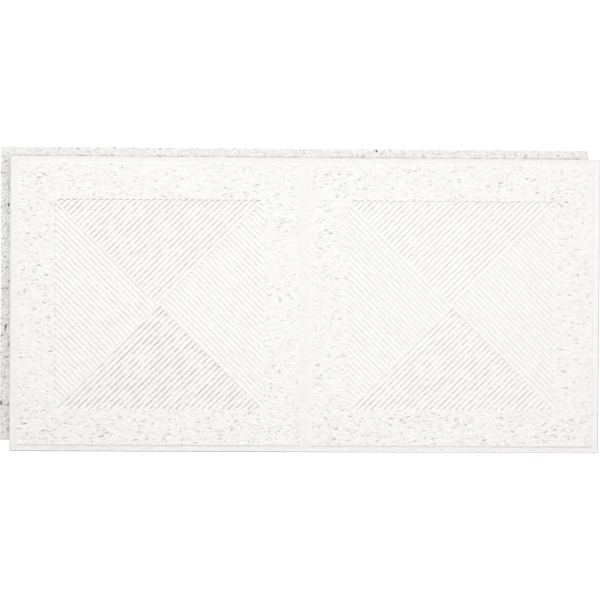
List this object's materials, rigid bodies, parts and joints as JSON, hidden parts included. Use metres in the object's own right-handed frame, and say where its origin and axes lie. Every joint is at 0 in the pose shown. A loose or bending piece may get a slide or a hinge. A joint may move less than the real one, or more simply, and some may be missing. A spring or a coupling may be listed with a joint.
{
  "type": "suspended ceiling tile",
  "caption": "Rectangular mineral-fibre ceiling tile with flanged and lipped lap edges, a low rim, raised square panels and diagonally grooved fields.",
  "frame": {"origin": "centre of the 600 x 300 mm visible face module, on the plane of the back", "axes": "+X along the tile's length, away from the short flanged edge; +Y across the tile, towards the long flanged edge; +Z out of the decorated face. The tile lies on its back with the face up."},
  "size_m": [0.6106, 0.3099, 0.015],
  "materials": {
    "board": "matte warm-white paint on the face, raw pale grey mineral fibre on the flanges, edges and back"
  },
  "bodies": {
    "root": {"ceiling_tile": "board"}
  },
  "joints": []
}
